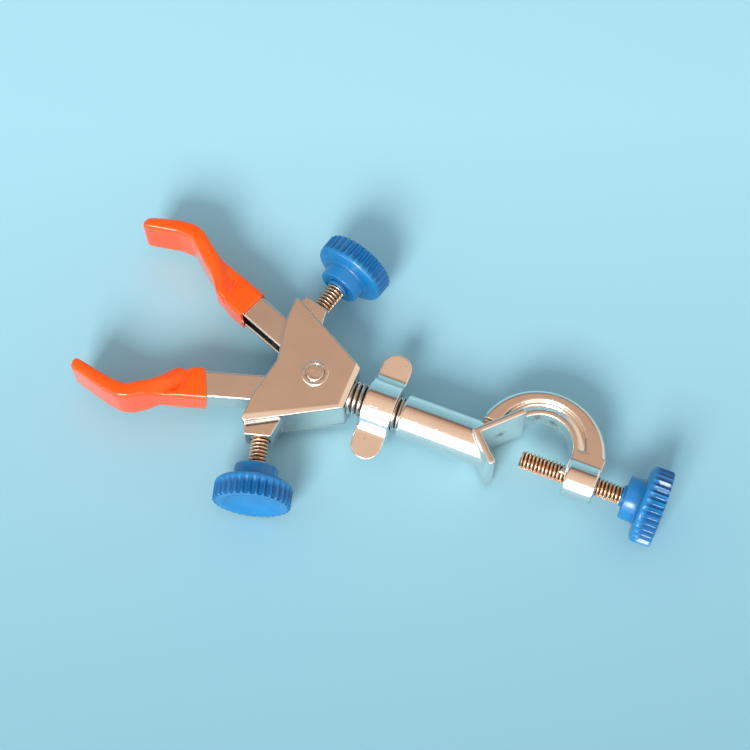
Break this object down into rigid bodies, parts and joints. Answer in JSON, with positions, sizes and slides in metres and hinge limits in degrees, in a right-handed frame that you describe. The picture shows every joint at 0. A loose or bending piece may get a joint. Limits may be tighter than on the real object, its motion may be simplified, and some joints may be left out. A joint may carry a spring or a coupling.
{
  "type": "test tube holder",
  "caption": "Finger clamp for a lab stand: a hooked boss head with a clamp screw, a swivelling housing and coated fingers set by knobs.",
  "frame": {"origin": "inner corner of the V seat that the stand rod rests in, midway across the seat", "axes": "+X from the stand rod to the jaws, +Z along the stand rod, +Y to the left finger's knob"},
  "size_m": [0.2003, 0.1029, 0.026],
  "materials": {
    "casting": "satin",
    "steel": "satin",
    "sleeve": "gloss",
    "knob": "gloss"
  },
  "bodies": {
    "boss_head": {"boss_head": "casting"},
    "clamp_stud": {"clamp_screw": "steel"},
    "clamp_knob": {"clamp_knob": "knob"},
    "housing": {"housing_frame": "casting", "upper_plate": "casting", "lower_plate": "casting", "pivot_rivet": "steel", "upper_washer": "steel", "lower_washer": "steel", "swivel_rod": "steel", "rod_pin": "steel", "torsion_spring": "steel"},
    "wing_nut": {"wing_nut": "casting"},
    "left_finger": {"left_finger": "casting", "left_sleeve": "sleeve"},
    "right_finger": {"right_finger": "casting", "right_sleeve": "sleeve"},
    "left_stud": {"left_screw": "steel"},
    "left_knob": {"left_knob": "knob"},
    "right_stud": {"right_screw": "steel"},
    "right_knob": {"right_knob": "knob"}
  },
  "joints": [
    {"name": "head_swivel", "type": "hinge", "parent": "boss_head", "child": "housing", "pos_m": [0.03, 0, 0], "axis": [1, 0, 0], "range_deg": [-180, 180]},
    {"name": "clamp_slide", "type": "slide", "parent": "boss_head", "child": "clamp_stud", "axis": [1, 0, 0], "range_m": [-0.015, 0.0082]},
    {"name": "clamp_knob_turn", "type": "hinge", "parent": "clamp_stud", "child": "clamp_knob", "pos_m": [-0.0573, 0, 0], "axis": [1, 0, 0], "range_deg": [-4250, 2320]},
    {"name": "wing_nut_turn", "type": "hinge", "parent": "housing", "child": "wing_nut", "pos_m": [0.0348, 0, 0], "axis": [1, 0, 0], "range_deg": [-470, 1110]},
    {"name": "left_finger_hinge", "type": "hinge", "parent": "housing", "child": "left_finger", "pos_m": [0.0586, 0, 0], "axis": [0, 0, -1], "range_deg": [-7, 16.1], "deforming": ["torsion_spring"]},
    {"name": "left_screw_slide", "type": "slide", "parent": "housing", "child": "left_stud", "axis": [0.2672, -0.9636, 0], "range_m": [-0.00187, 0.00429]},
    {"name": "left_knob_turn", "type": "hinge", "parent": "left_stud", "child": "left_knob", "pos_m": [0.06368, 0.04136, 0], "axis": [0.2672, -0.9636, 0], "range_deg": [-530, 1215]},
    {"name": "right_finger_hinge", "type": "hinge", "parent": "housing", "child": "right_finger", "pos_m": [0.0586, 0, 0], "axis": [0, 0, 1], "range_deg": [-5.1, 19.1], "deforming": ["torsion_spring"]},
    {"name": "right_screw_slide", "type": "slide", "parent": "housing", "child": "right_stud", "axis": [0.2672, 0.9636, 0], "range_m": [-0.0014, 0.00524]},
    {"name": "right_knob_turn", "type": "hinge", "parent": "right_stud", "child": "right_knob", "pos_m": [0.06343, -0.04228, 0], "axis": [0.2672, 0.9636, 0], "range_deg": [-395, 1485]}
  ],
  "couplings": [
    {"joint": "clamp_slide", "follows": "clamp_knob_turn", "m_per_rad": 0.00020213},
    {"joint": "left_screw_slide", "follows": "left_knob_turn", "m_per_rad": 0.00020213},
    {"joint": "left_finger_hinge", "follows": "left_knob_turn", "ratio": 0.013194},
    {"joint": "right_screw_slide", "follows": "right_knob_turn", "m_per_rad": 0.00020213},
    {"joint": "right_finger_hinge", "follows": "right_knob_turn", "ratio": 0.012841}
  ]
}
